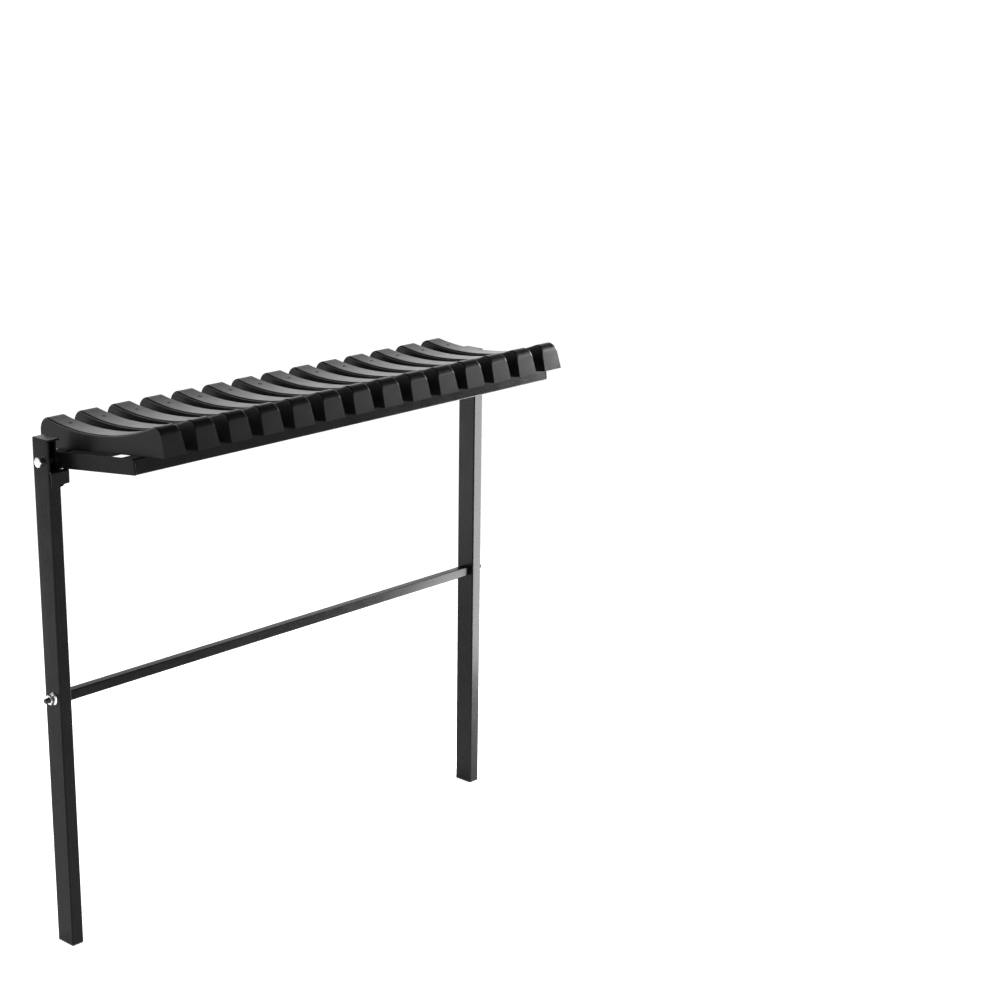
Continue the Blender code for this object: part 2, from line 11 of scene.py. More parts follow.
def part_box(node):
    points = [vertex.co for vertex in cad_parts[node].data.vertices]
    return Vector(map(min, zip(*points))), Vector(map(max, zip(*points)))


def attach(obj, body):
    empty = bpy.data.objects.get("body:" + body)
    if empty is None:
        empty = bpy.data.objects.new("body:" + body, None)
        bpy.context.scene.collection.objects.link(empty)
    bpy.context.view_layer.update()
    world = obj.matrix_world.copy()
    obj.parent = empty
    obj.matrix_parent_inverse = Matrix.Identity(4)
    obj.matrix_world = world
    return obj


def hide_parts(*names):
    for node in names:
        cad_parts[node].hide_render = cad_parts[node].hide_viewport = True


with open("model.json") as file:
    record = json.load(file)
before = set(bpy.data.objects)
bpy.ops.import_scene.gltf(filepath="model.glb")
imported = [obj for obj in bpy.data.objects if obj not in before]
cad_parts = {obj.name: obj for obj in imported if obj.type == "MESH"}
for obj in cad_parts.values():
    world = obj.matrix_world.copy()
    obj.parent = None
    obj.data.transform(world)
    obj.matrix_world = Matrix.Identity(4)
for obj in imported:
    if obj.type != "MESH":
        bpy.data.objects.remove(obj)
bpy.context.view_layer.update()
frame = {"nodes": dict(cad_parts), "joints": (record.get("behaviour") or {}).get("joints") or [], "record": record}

SIDES = (("left", -1), ("right", 1))
JOINT = frame["joints"][0]
PIVOT = Vector(JOINT["pos_m"])
SEAT_TILT = math.radians(6.65)
SEAT_PLACE = Matrix.Translation((0, PIVOT.y, PIVOT.z)) @ Matrix.Rotation(-SEAT_TILT, 4, "X")
GAP = 0.0003
OVERCUT = 0.002

# Studio: floor half size and glow, surround levels by height, and the bright part of the surround.
FLOOR_HALF = 60.0
FLOOR_GLOW = 0.90
FLOOR_CELLS = 12
WALL_LEVELS = ((0.0, 0.60), (0.12, 0.60), (0.30, 0.35), (0.55, 0.10), (1.0, 0.05))
GLOW_AZIMUTH = math.radians(50)
GLOW_ELEVATION = math.radians(8)
GLOW_SPREAD = math.radians(16)
GLOW_PEAK = 1.5

# Seat frame, in the seat's own axes: local -Y is the front, local Z is up through the seat.
FRAME_TOP = 0.0103
FRAME_BOTTOM = -0.0122
FRAME_REAR = -0.0160
FRAME_FRONT = 0.1749
BEAM_DEPTH = 0.030
STOP_SHEET = 0.003
BEAM_WALL = 0.0015
SCREW_ROWS = {"rear": FRAME_REAR + BEAM_DEPTH / 2, "front": FRAME_FRONT - BEAM_DEPTH / 2}

# Slat moulding.
SLAT_BOTTOM = FRAME_TOP + GAP
SLAT_FOOT_WIDTH = 0.038
SLAT_TOP_WIDTH = 0.0325
SLAT_REAR = -0.0491
SLAT_FRONT = 0.2199
SLAT_WALL = 0.003
REAR_CREST = 0.0528
FRONT_CREST = 0.0510
DISH_LOW = 0.0347
DISH_LOW_AT = 0.0959
REAR_DISH_POWER = 2.25
FRONT_DISH_POWER = 1.9
REAR_ROUND = 0.015
FRONT_ROUND = 0.015
REAR_CREST_AT = SLAT_REAR + REAR_ROUND

# The front face leans back and runs on into the rounding of the front crest.
FRONT_LEAN = math.radians(9)
FRONT_CROWN = FRONT_CREST - FRONT_ROUND
FRONT_REACH = FRONT_ROUND + (FRONT_CROWN - SLAT_BOTTOM) * math.sin(FRONT_LEAN)
FRONT_CREST_AT = SLAT_FRONT - FRONT_REACH / math.cos(FRONT_LEAN)

# Mesh detail of the slats, their bosses and the ribs inside.
EDGE_ROUND = 0.0028
EDGE_STEPS = 5
END_ROUND = 0.0014
ROUND_STEPS = 12
DISH_STEPS = 40
BOSS_RADIUS = 0.0065
BOSS_FOOT_RADIUS = 0.0069
RIB_THICK = 0.002
RIBS_AT = (0.039, 0.079, 0.119, 0.193)
RIB_RISE = 0.004

# Screws and M8 fasteners.
SCREW_RADIUS = 0.0015
SCREW_HEAD_RADIUS = 0.0026
SCREW_HEAD = 0.0018
SCREW_EDGE = 0.0008
SCREW_SINK = 0.0020
SCREW_TIP = 0.0038
RECESS_FLOOR = 0.0008
RECESS_FOOT = 0.0005
RECESS_MOUTH = 0.0015
RECESS_WIDTH = 0.00025
STRIP_WIDTH = 0.012
STRIP_THICK = 0.003
M8_RADIUS = 0.004
M8_BORE = M8_RADIUS + 0.00015
M8_FLATS = 0.013
M8_PITCH = 0.00125
THREAD_DEPTH = 0.00055
BOLT_THREAD = 0.014
FINE_STEPS = 72
THREAD_SIDES = 36
THREAD_STEPS_PER_TURN = 8
THREAD_TIP = 0.0012
THREAD_TIP_DEPTH = 0.0009

# Hexagon heads and nuts: chamfer share of the corner, and how far it reaches down and stops short of the top.
CHAMFER_SHARE = 0.10
CHAMFER_RUN = 0.0007
HEAD_CHAMFER_TOP = 0.0011
NUT_CHAMFER_TOP = 0.0010
HEAD_FACE_STEP = 0.0003

# Weld beads: spacing and height of the ripples, steps per ripple, sides, and size at the very ends.
RIPPLE_PITCH = 0.0014
RIPPLE_HEIGHT = 0.10
RIPPLE_STEPS = 5
BEAD_SIDES = 12
BEAD_END = 0.35

# Hollow weld under each stop bracket: reach along the bracket, drop down the post,
# how far it keeps forward of the arm, and overlap.
HOLLOW_REACH = 0.0092
HOLLOW_DROP = 0.0055
HOLLOW_SETBACK = 0.0044
HOLLOW_BITE = 0.0008
HOLLOW_STEPS = 18

# Edge rounding of the steelwork.
TUBE_EDGE = 0.0003
PLATE_EDGE = 0.0004
BRACKET_EDGE = 0.0006
ARM_EDGE = 0.0007
SHARP_ANGLE = math.radians(40)
FLAT_ANGLE = math.radians(0.6)
WELD_LIMIT = 1e-6

# Surface colours, darker and lighter.
COAT_TONES = ((0.0030, 0.0030, 0.0032), (0.0048, 0.0046, 0.0046))
PLASTIC_TONES = ((0.0030, 0.0030, 0.0032), (0.0044, 0.0043, 0.0042))
ZINC_TONES = ((0.74, 0.76, 0.79), (0.86, 0.84, 0.78))
OXIDE_TONES = ((0.010, 0.010, 0.011), (0.050, 0.048, 0.047))
NYLON_TONES = ((0.0050, 0.0050, 0.0052), (0.0080, 0.0078, 0.0076))
PLUG_TONES = ((0.008, 0.008, 0.008), (0.020, 0.019, 0.018))

# Camera, and softboxes as name, place, target, width, height and radiance.
CAMERA_PLACE = (-2.159, -2.363, 1.465)
CAMERA_AZIMUTH = math.radians(45.71)
CAMERA_PITCH = math.radians(18.0)
CAMERA_LENS = 78.22
CAMERA_SHIFT = 0.10
SOFTBOXES = (
    ("right_front", (0.892, -0.243, 0.52), (0.52, 0.12, 0.52), 0.47, 1.0, 25.0),
    ("low_back_left", (-0.58, 0.98, 0.24), (0.42, 0.0, 0.24), 0.6, 0.46, 3.6),
    ("high_back_left", (-1.3, 1.3, 1.3), (0.0, 0.0, 0.75), 1.4, 0.35, 7.0),
    ("left_front", (-1.45, -0.65, 0.55), (-0.44, 0.0, 0.55), 0.30, 1.1, 6.0),
    ("high_right_front", (1.75, -1.55, 1.35), (0.3, -0.2, 0.76), 0.55, 0.3, 9.0),
)


# ---------------------------------------------------------------- mesh helpers


def turns(steps):
    return [2 * math.pi * i / steps for i in range(steps)]


def circle(radius, steps):
    return [(radius * math.cos(angle), radius * math.sin(angle)) for angle in turns(steps)]


def add_loft(bm, rings, closed_loop=False):
    rows = [[bm.verts.new(point) for point in ring] for ring in rings]
    count = len(rows[0])
    pairs = list(zip(rows, rows[1:]))
    if closed_loop:
        pairs.append((rows[-1], rows[0]))
    for low, high in pairs:
        for i in range(count):
            j = (i + 1) % count
            bm.faces.new((low[i], low[j], high[j], high[i]))
    if not closed_loop:
        bm.faces.new(rows[0])
        bm.faces.new(rows[-1])
    return rows


def mesh_from(name, bm, crease=30):
    bmesh.ops.recalc_face_normals(bm, faces=bm.faces[:])
    mesh = bpy.data.meshes.new(name)
    bm.to_mesh(mesh)
    bm.free()
    mesh.shade_smooth()
    mesh.set_sharp_from_angle(angle=math.radians(crease))
    return mesh


def piece(name, mesh, material, body, nodes=()):
    obj = bpy.data.objects.new(name, mesh)
    bpy.context.scene.collection.objects.link(obj)
    mesh.materials.clear()
    mesh.materials.append(material)
    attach(obj, body)
    if nodes:
        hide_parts(*nodes)
    return obj


def hardware(node, mesh, material):
    """A fine fastener of the frame, standing in for its CAD node."""
    level_normals(piece(f"{node}_fine", mesh, material, "frame", (node,)))


def outward(low, high, side):
    """X of the outer and the inner end of a box on the given side of the seat."""
    return (high.x, low.x) if side > 0 else (low.x, high.x)


def level_normals(obj):
    modifier = obj.modifiers.new("level_normals", "WEIGHTED_NORMAL")
    modifier.keep_sharp = True
    modifier.weight = 100


def boolean(mesh, tool):
    """Cuts the tool out of a mesh exactly and returns the result. Both meshes are used up."""
    target = bpy.data.objects.new("target", mesh)
    helper = bpy.data.objects.new("helper", tool)
    for obj in (target, helper):
        bpy.context.scene.collection.objects.link(obj)
    modifier = target.modifiers.new("cut", "BOOLEAN")
    modifier.operation = "DIFFERENCE"
    modifier.solver = "EXACT"
    modifier.object = helper
    bpy.context.view_layer.update()
    graph = bpy.context.evaluated_depsgraph_get()
    result = bpy.data.meshes.new_from_object(target.evaluated_get(graph))
    for obj in (target, helper):
        bpy.data.objects.remove(obj, do_unlink=True)
    return result


def softened(node, width, material, segments=3):
    """A copy of a CAD node with its sharp edges rounded, standing in for it."""
    source = frame["nodes"][node].data
    bm = bmesh.new()
    corners = [bm.verts.new(v.co) for v in source.vertices]
    for polygon in source.polygons:
        bm.faces.new([corners[i] for i in polygon.vertices])
    bmesh.ops.remove_doubles(bm, verts=bm.verts[:], dist=WELD_LIMIT)
    bmesh.ops.dissolve_degenerate(bm, edges=bm.edges[:], dist=WELD_LIMIT)
    bmesh.ops.dissolve_limit(bm, angle_limit=FLAT_ANGLE, verts=bm.verts[:], edges=bm.edges[:])
    sharp = [e for e in bm.edges if e.is_manifold and e.calc_face_angle() > SHARP_ANGLE]
    bmesh.ops.bevel(
        bm, geom=sharp, offset=width, offset_type="OFFSET", segments=segments, profile=0.5,
        affect="EDGES", clamp_overlap=True,
    )
    mesh = mesh_from(f"{node}_fine", bm, 40)
    level_normals(piece(f"{node}_fine", mesh, material, frame_body(node), (node,)))


def frame_body(node):
    for body, names in frame["record"]["behaviour"]["bodies"].items():
        if node in names:
            return body
    raise KeyError(node)


# ---------------------------------------------------------------- materials


class Nodes:
    """Small helper that adds and wires the nodes of one material."""

    def __init__(self, name):
        self.material = bpy.data.materials.new(name)
        self.material.use_nodes = True
        self.tree = self.material.node_tree
        self.shader = self.tree.nodes["Principled BSDF"]
        coordinates = self.tree.nodes.new("ShaderNodeTexCoord")
        self.place = coordinates.outputs["Object"]

    def link(self, output, target):
        self.tree.links.new(output, target)

    def stretched(self, scale):
        mapping = self.tree.nodes.new("ShaderNodeMapping")
        mapping.inputs["Scale"].default_value = scale
        self.link(self.place, mapping.inputs["Vector"])
        return mapping.outputs["Vector"]

    def noise(self, scale, detail, roughness, vector=None):
        node = self.tree.nodes.new("ShaderNodeTexNoise")
        node.inputs["Scale"].default_value = scale
        node.inputs["Detail"].default_value = detail
        node.inputs["Roughness"].default_value = roughness
        self.link(vector or self.place, node.inputs["Vector"])
        return node.outputs["Fac"]

    def ranged(self, value, low, high, from_low=0.3, from_high=0.7):
        node = self.tree.nodes.new("ShaderNodeMapRange")
        node.inputs["From Min"].default_value = from_low
        node.inputs["From Max"].default_value = from_high
        node.inputs["To Min"].default_value = low
        node.inputs["To Max"].default_value = high
        self.link(value, node.inputs["Value"])
        return node.outputs["Result"]

    def math(self, operation, a, b):
        node = self.tree.nodes.new("ShaderNodeMath")
        node.operation = operation
        for socket, value in zip(node.inputs, (a, b)):
            if isinstance(value, (int, float)):
                socket.default_value = value
            else:
                self.link(value, socket)
        return node.outputs["Value"]

    def blend(self, factor, low, high):
        node = self.tree.nodes.new("ShaderNodeMix")
        node.data_type = "RGBA"
        colours = [s for s in node.inputs if s.type == "RGBA"]
        for socket, colour in zip(colours, (low, high)):
            socket.default_value = (*colour, 1.0)
        self.link(factor, node.inputs["Factor"])
        return [s for s in node.outputs if s.type == "RGBA"][0]

    def bumps(self, layers):
        """Chains bump nodes: each layer is (height output, distance, strength)."""
        normal = None
        for height, distance, strength in layers:
            node = self.tree.nodes.new("ShaderNodeBump")
            node.inputs["Distance"].default_value = distance
            node.inputs["Strength"].default_value = strength
            self.link(height, node.inputs["Height"])
            if normal:
                self.link(normal, node.inputs["Normal"])
            normal = node.outputs["Normal"]
        self.link(normal, self.shader.inputs["Normal"])

    def set(self, **values):
        for key, value in values.items():
            socket = self.shader.inputs[key.replace("_", " ")]
            if isinstance(value, (int, float, tuple)):
                socket.default_value = value
            else:
                self.link(value, socket)


def powder_coat(name, along):
    """Black semi-gloss powder coat: orange peel, long drawing streaks along the stock, dusty patches."""
    n = Nodes(name)
    scale = {"X": (0.03, 1.0, 1.0), "Y": (1.0, 0.03, 1.0), "Z": (1.0, 1.0, 0.03)}[along]
    streaks = n.noise(420.0, 2.0, 0.5, n.stretched(scale))
    patches = n.noise(28.0, 3.0, 0.55)
    peel = n.noise(900.0, 1.0, 0.4)
    grit = n.noise(5200.0, 0.0, 0.5)
    colour = n.blend(n.ranged(patches, 0.0, 1.0), *COAT_TONES)
    rough = n.math("ADD", n.ranged(patches, 0.24, 0.31), n.ranged(streaks, -0.02, 0.02))
    n.set(Base_Color=colour, Roughness=rough, Specular_IOR_Level=0.10)
    n.bumps([(peel, 0.00008, 0.14), (grit, 0.00001, 0.10), (streaks, 0.00004, 0.06)])
    return n.material


def moulded_plastic(name):
    """Black polypropylene: fine moulded grain, slow sink waviness, drag marks, faint scuffs on the top."""
    n = Nodes(name)
    wave = n.noise(26.0, 1.0, 0.4)
    cloud = n.noise(60.0, 3.0, 0.6)
    grain = n.noise(2600.0, 2.0, 0.6)
    drag = n.noise(300.0, 1.0, 0.5, n.stretched((1.0, 0.12, 0.05)))
    scuff = n.noise(150.0, 4.0, 0.7, n.stretched((1.6, 0.16, 1.0)))
    colour = n.blend(n.ranged(cloud, 0.0, 1.0), *PLASTIC_TONES)
    rough = n.math("ADD", n.ranged(cloud, 0.30, 0.34), n.ranged(scuff, -0.02, 0.03, 0.45, 0.75))
    n.set(Base_Color=colour, Roughness=rough, Specular_IOR_Level=0.20)
    n.bumps([(wave, 0.0012, 0.018), (drag, 0.00006, 0.03), (grain, 0.00002, 0.10)])
    return n.material


def zinc(name):
    """Bright zinc plate: faint blue and straw passivation, fine turned texture."""
    n = Nodes(name)
    tint = n.noise(240.0, 2.0, 0.5)
    speck = n.noise(3000.0, 2.0, 0.6)
    colour = n.blend(n.ranged(tint, 0.0, 1.0), *ZINC_TONES)
    rough = n.ranged(speck, 0.20, 0.36)
    n.set(Base_Color=colour, Roughness=rough, Metallic=1.0)
    n.bumps([(speck, 0.00003, 0.4), (tint, 0.00010, 0.15)])
    return n.material


def oxide_steel(name):
    """Blackened steel of screws and studs, rubbed brighter in places."""
    n = Nodes(name)
    rub = n.noise(500.0, 3.0, 0.6)
    speck = n.noise(3500.0, 1.0, 0.5)
    colour = n.blend(n.ranged(rub, 0.0, 1.0, 0.45, 0.7), *OXIDE_TONES)
    n.set(Base_Color=colour, Roughness=n.ranged(speck, 0.30, 0.45), Metallic=0.6)
    n.bumps([(speck, 0.00003, 0.5)])
    return n.material


def nylon(name):
    """Black nylon of the bushes and spacers: slightly waxy, with a faint mottling."""
    n = Nodes(name)
    mottle = n.noise(180.0, 2.0, 0.5)
    grain = n.noise(2200.0, 1.0, 0.5)
    colour = n.blend(n.ranged(mottle, 0.0, 1.0), *NYLON_TONES)
    n.set(Base_Color=colour, Roughness=n.ranged(mottle, 0.40, 0.52), Specular_IOR_Level=0.3)
    n.bumps([(grain, 0.00004, 0.25)])
    return n.material


def plug_plastic(name):
    """Matte dark polyethylene of the foot plugs, dusty near the ground."""
    n = Nodes(name)
    dust = n.noise(90.0, 4.0, 0.65)
    grain = n.noise(1800.0, 2.0, 0.6)
    colour = n.blend(n.ranged(dust, 0.0, 1.0), *PLUG_TONES)
    n.set(Base_Color=colour, Roughness=n.ranged(dust, 0.50, 0.66))
    n.bumps([(grain, 0.00006, 0.4)])
    return n.material


POST_COAT = powder_coat("post_powder_coat", "Z")
BAR_COAT = powder_coat("bar_powder_coat", "X")
ARM_COAT = powder_coat("arm_powder_coat", "Y")
SLAT_PLASTIC = moulded_plastic("slat_moulded_plastic")
ZINC = zinc("bright_zinc_plate")
OXIDE = oxide_steel("black_oxide_steel_thread")
NYLON = nylon("black_nylon_bush")
PLUG = plug_plastic("foot_plug_plastic")


# ---------------------------------------------------------------- slats


def dish_height(f):
    """Height of the slat's top between its two crests."""
    if f < DISH_LOW_AT:
        share = (DISH_LOW_AT - f) / (DISH_LOW_AT - REAR_CREST_AT)
        return DISH_LOW + (REAR_CREST - DISH_LOW) * share**REAR_DISH_POWER
    share = (f - DISH_LOW_AT) / (FRONT_CREST_AT - DISH_LOW_AT)
    return DISH_LOW + (FRONT_CREST - DISH_LOW) * share**FRONT_DISH_POWER


def slat_stations(inset, round_steps, dish_steps):
    """(top position, top height, foot position) from the rear end to the front end, moved in by the inset."""
    stations = []
    rear_radius = REAR_ROUND - inset
    for i in range(round_steps + 1):
        angle = math.radians(180 - 90 * i / round_steps)
        f = REAR_CREST_AT + rear_radius * math.cos(angle)
        stations.append((f, REAR_CREST - REAR_ROUND + rear_radius * math.sin(angle), f))
    for i in range(1, dish_steps):
        f = REAR_CREST_AT + (FRONT_CREST_AT - REAR_CREST_AT) * i / dish_steps
        stations.append((f, dish_height(f) - inset, f))
    front_radius = FRONT_ROUND - inset
    foot_end = SLAT_FRONT - inset / math.cos(FRONT_LEAN)
    turn = math.pi / 2 - FRONT_LEAN
    for i in range(round_steps + 1):
        angle = math.pi / 2 - turn * i / round_steps
        f = FRONT_CREST_AT + front_radius * math.cos(angle)
        foot = FRONT_CREST_AT + (foot_end - FRONT_CREST_AT) * i / round_steps
        stations.append((f, FRONT_CROWN + front_radius * math.sin(angle), foot))
    return stations


def slat_ring(station, foot, inset, edge=0.0):
    """One cross-section: drafted sides, top edges rounded by the given radius, leaning from foot to top."""
    f_top, top, f_foot = station
    draft = (SLAT_FOOT_WIDTH - SLAT_TOP_WIDTH) / 2 / (REAR_CREST - SLAT_BOTTOM)
    half_foot = SLAT_FOOT_WIDTH / 2 - inset
    right = [(half_foot - draft * (foot - SLAT_BOTTOM), foot)]
    half_top = half_foot - draft * (top - SLAT_BOTTOM)
    if edge > 0:
        for i in range(EDGE_STEPS + 1):
            angle = math.pi / 2 * i / EDGE_STEPS
            right.append((half_top - edge * (1 - math.cos(angle)), top - edge * (1 - math.sin(angle))))
    else:
        right.append((half_top, top))
    lean = (f_top - f_foot) / (top - SLAT_BOTTOM)
    outline = right + [(-x, z) for x, z in reversed(right)]
    return [(x, -(f_foot + lean * (z - SLAT_BOTTOM)), z) for x, z in outline]


def slat_body():
    """The solid slat: a loft from end to end, with its four upright corners rounded."""
    stations = slat_stations(0.0, ROUND_STEPS, DISH_STEPS)
    bm = bmesh.new()
    rows = add_loft(bm, [slat_ring(station, SLAT_BOTTOM, 0.0, EDGE_ROUND) for station in stations])
    upright = []
    for row in (rows[0], rows[-1]):
        upright += [bm.edges.get((row[0], row[1])), bm.edges.get((row[-2], row[-1]))]
    bmesh.ops.bevel(
        bm, geom=upright, offset=END_ROUND, offset_type="OFFSET", segments=4, profile=0.5,
        affect="EDGES", clamp_overlap=True,
    )
    return mesh_from("slat_body", bm)


def column(at, levels, steps=32):
    """Stacked circle rings about a seat-normal axis at position at; levels are (radius, height) pairs."""
    return [[(a, b - at, z) for a, b in circle(radius, steps)] for radius, z in levels]


def slat_cavity():
    """The hollow under a slat, less its two screw bosses and its cross ribs."""
    lining = bmesh.new()
    stations = slat_stations(SLAT_WALL, 6, 14)
    add_loft(lining, [slat_ring(station, SLAT_BOTTOM - OVERCUT, SLAT_WALL) for station in stations])
    hollow = mesh_from("cavity", lining)
    bosses = bmesh.new()
    for at in SCREW_ROWS.values():
        levels = ((BOSS_FOOT_RADIUS, SLAT_BOTTOM), (BOSS_RADIUS, dish_height(at) + OVERCUT))
        add_loft(bosses, column(at, levels))
    hollow = boolean(hollow, mesh_from("bosses", bosses))
    half = SLAT_FOOT_WIDTH / 2
    low = SLAT_BOTTOM + RIB_RISE
    for at in RIBS_AT:
        rib = bmesh.new()
        corners = ((-half, low), (half, low), (half, REAR_CREST), (-half, REAR_CREST))
        sides = (-at - RIB_THICK / 2, -at + RIB_THICK / 2)
        add_loft(rib, [[(x, y, z) for x, z in corners] for y in sides])
        hollow = boolean(hollow, mesh_from("rib", rib))
    return hollow


def slat_mesh():
    """The hollow slat with its two stepped screw holes."""
    mesh = boolean(slat_body(), slat_cavity())
    wide = SCREW_HEAD_RADIUS + GAP
    narrow = SCREW_RADIUS + GAP
    holes = bmesh.new()
    for at in SCREW_ROWS.values():
        top = dish_height(at)
        floor = top - SCREW_SINK
        levels = (
            (narrow, SLAT_BOTTOM - OVERCUT),
            (narrow, floor),
            (wide, floor),
            (wide, top + OVERCUT),
        )
        add_loft(holes, column(at, levels))
    mesh = boolean(mesh, mesh_from("holes", holes))
    mesh.shade_smooth()
    mesh.set_sharp_from_angle(angle=math.radians(30))
    return mesh


def slat_names():
    return sorted(name for name in frame["nodes"] if name.startswith("slat_"))


def make_slats():
    pattern = slat_mesh()
    for name in slat_names():
        low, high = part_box(name)
        mesh = pattern.copy()
        mesh.name = f"{name}_moulding"
        mesh.transform(SEAT_PLACE @ Matrix.Translation(((low.x + high.x) / 2, 0, 0)))
        slat = piece(f"{name}_moulding", mesh, SLAT_PLASTIC, "seat", (name,))
        level_normals(slat)
    bpy.data.meshes.remove(pattern)


# ---------------------------------------------------------------- fasteners


def turned(levels, at):
    """Rings about an X axis through the point at, from (radius by angle, x) pairs."""
    rings = []
    for radius_of, x in levels:
        ring = []
        for angle in turns(FINE_STEPS):
            radius = radius_of(angle)
            ring.append((at.x + x, at.y + radius * math.cos(angle), at.z + radius * math.sin(angle)))
        rings.append(ring)
    return rings


def hexagon(flats, cap=None):
    """Radius of a hexagon by angle, cut to at most the cap radius, as a turned chamfer leaves it."""

    def radius(angle):
        off_flat = (angle % (math.pi / 3)) - math.pi / 6
        value = flats / 2 / math.cos(off_flat)
        return min(value, cap) if cap else value

    return radius


def round_of(value):
    return lambda angle: value


def thread_loft(bm, at, start, end, side):
    """Threaded rod along X from start to end, with a helical ridge and chamfered tip."""
    length = abs(end - start)
    count = max(2, int(length / M8_PITCH * THREAD_STEPS_PER_TURN))
    rings = []
    for k in range(count + 1):
        along = length * k / count
        tip = min(1.0, (length - along) / THREAD_TIP)
        ring = []
        for i in range(THREAD_SIDES):
            turn = i / THREAD_SIDES
            phase = (along / M8_PITCH - turn) % 1.0
            ridge = 1 - abs(2 * phase - 1)
            radius = M8_RADIUS - THREAD_DEPTH * (1 - ridge) - THREAD_TIP_DEPTH * (1 - tip)
            angle = 2 * math.pi * turn
            x = start + side * along
            ring.append((at.x + x, at.y + radius * math.cos(angle), at.z + radius * math.sin(angle)))
        rings.append(ring)
    add_loft(bm, rings)


def hex_head_rings(seat, height, flats, side):
    """Hexagon head: washer face, flats, chamfered crown and a shallow domed top."""
    top = seat + side * height
    levels = [
        (hexagon(flats - 0.0008, flats / 2 - 0.0002), seat),
        (hexagon(flats - 0.0008, flats / 2 - 0.0002), seat + side * HEAD_FACE_STEP),
        (hexagon(flats), seat + side * 0.00035),
    ]
    for i in range(6):
        share = i / 5
        cap = flats / 2 / math.cos(math.pi / 6) * (1.0 - CHAMFER_SHARE * share)
        levels.append((hexagon(flats, cap), top - side * (HEAD_CHAMFER_TOP - CHAMFER_RUN * share)))
    levels.append((round_of(flats / 2 - 0.0010), top))
    levels.append((round_of(flats / 4), top))
    return levels


def make_pivot_hardware(tag, side):
    low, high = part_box(f"{tag}_pivot_bolt")
    outer, inner = outward(low, high, side)
    post_low, post_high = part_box(f"{tag}_post")
    seat = (post_high.x if side > 0 else post_low.x) + side * GAP
    at = Vector((0, PIVOT.y, PIVOT.z))
    plain_end = inner + side * BOLT_THREAD
    levels = list(reversed(hex_head_rings(seat, abs(outer - seat), M8_FLATS, side)))
    levels += [(round_of(M8_RADIUS), seat), (round_of(M8_RADIUS), plain_end)]
    bm = bmesh.new()
    add_loft(bm, turned(levels, at))
    thread_loft(bm, at, plain_end, inner, -side)
    node = f"{tag}_pivot_bolt"
    hardware(node, mesh_from(node, bm, 25), ZINC)

    node = f"{tag}_pivot_nut"
    low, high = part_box(node)
    near, far = outward(low, high, side)
    hardware(node, nut_mesh(at, near, far, 0.0), ZINC)


def nut_mesh(at, seat, top, flange):
    """Hexagon nut from its bearing face to its top, with a turned flange where flange is over zero."""
    way = 1 if top > seat else -1
    flats = M8_FLATS
    corner = flats / 2 / math.cos(math.pi / 6)
    levels = [(round_of(M8_BORE), seat)]
    if flange > 0:
        levels += [
            (round_of(flange - 0.0003), seat),
            (round_of(flange), seat + way * 0.0003),
            (round_of(flange), seat + way * 0.0007),
            (round_of(flange - 0.0003), seat + way * 0.0010),
            (round_of(corner + 0.0003), seat + way * 0.0020),
            (hexagon(flats, corner), seat + way * 0.0024),
        ]
    else:
        for i in range(4):
            share = i / 3
            cap = corner * (1.0 - CHAMFER_SHARE + CHAMFER_SHARE * share)
            levels.append((hexagon(flats, cap), seat + way * CHAMFER_RUN * share))
    for i in range(5):
        share = i / 4
        cap = corner * (1.0 - CHAMFER_SHARE * share)
        levels.append((hexagon(flats, cap), top - way * (NUT_CHAMFER_TOP - CHAMFER_RUN * share)))
    levels += [
        (round_of(flats / 2 - 0.0008), top),
        (round_of(M8_BORE + 0.0006), top),
        (round_of(M8_BORE), top - way * 0.0006),
    ]
    bm = bmesh.new()
    add_loft(bm, turned(levels, at), closed_loop=True)
    return mesh_from("nut", bm, 25)


def make_bar_hardware(tag, side):
    node = f"{tag}_bar_stud"
    low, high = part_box(node)
    centre = (low + high) / 2
    at = Vector((0, centre.y, centre.z))
    outer, inner = outward(low, high, side)
    bm = bmesh.new()
    thread_loft(bm, at, inner, outer, side)
    hardware(node, mesh_from(node, bm, 25), OXIDE)

    node = f"{tag}_bar_nut"
    low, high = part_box(node)
    top, seat = outward(low, high, side)
    hardware(node, nut_mesh(at, seat, top, (high.z - low.z) / 2), ZINC)


def screw_mesh(at):
    """One round-head cross-recess screw under the row at position at."""
    base = dish_height(at) - SCREW_SINK + GAP
    rise = SCREW_HEAD - SCREW_EDGE
    levels = [(SCREW_RADIUS, SCREW_TIP), (SCREW_RADIUS, base)]
    levels += [(SCREW_HEAD_RADIUS, base), (SCREW_HEAD_RADIUS, base + SCREW_EDGE)]
    for i in range(1, 7):
        angle = math.pi / 2 * i / 7
        height = base + SCREW_EDGE + rise * math.sin(angle)
        levels.append((SCREW_HEAD_RADIUS * math.cos(angle), height))
    head = bmesh.new()
    add_loft(head, column(at, levels, 28))
    screw = mesh_from("screw", head)
    for turn in (20, 110):
        spin = Matrix.Translation((0, -at, 0)) @ Matrix.Rotation(math.radians(turn), 4, "Z")
        rings = []
        for z, half in ((base + RECESS_FLOOR, RECESS_FOOT), (base + SCREW_HEAD + OVERCUT, RECESS_MOUTH)):
            square = ((-half, -1), (half, -1), (half, 1), (-half, 1))
            rings.append([spin @ Vector((a, b * RECESS_WIDTH, z)) for a, b in square])
        slot = bmesh.new()
        add_loft(slot, rings)
        screw = boolean(screw, mesh_from("recess", slot))
    return screw


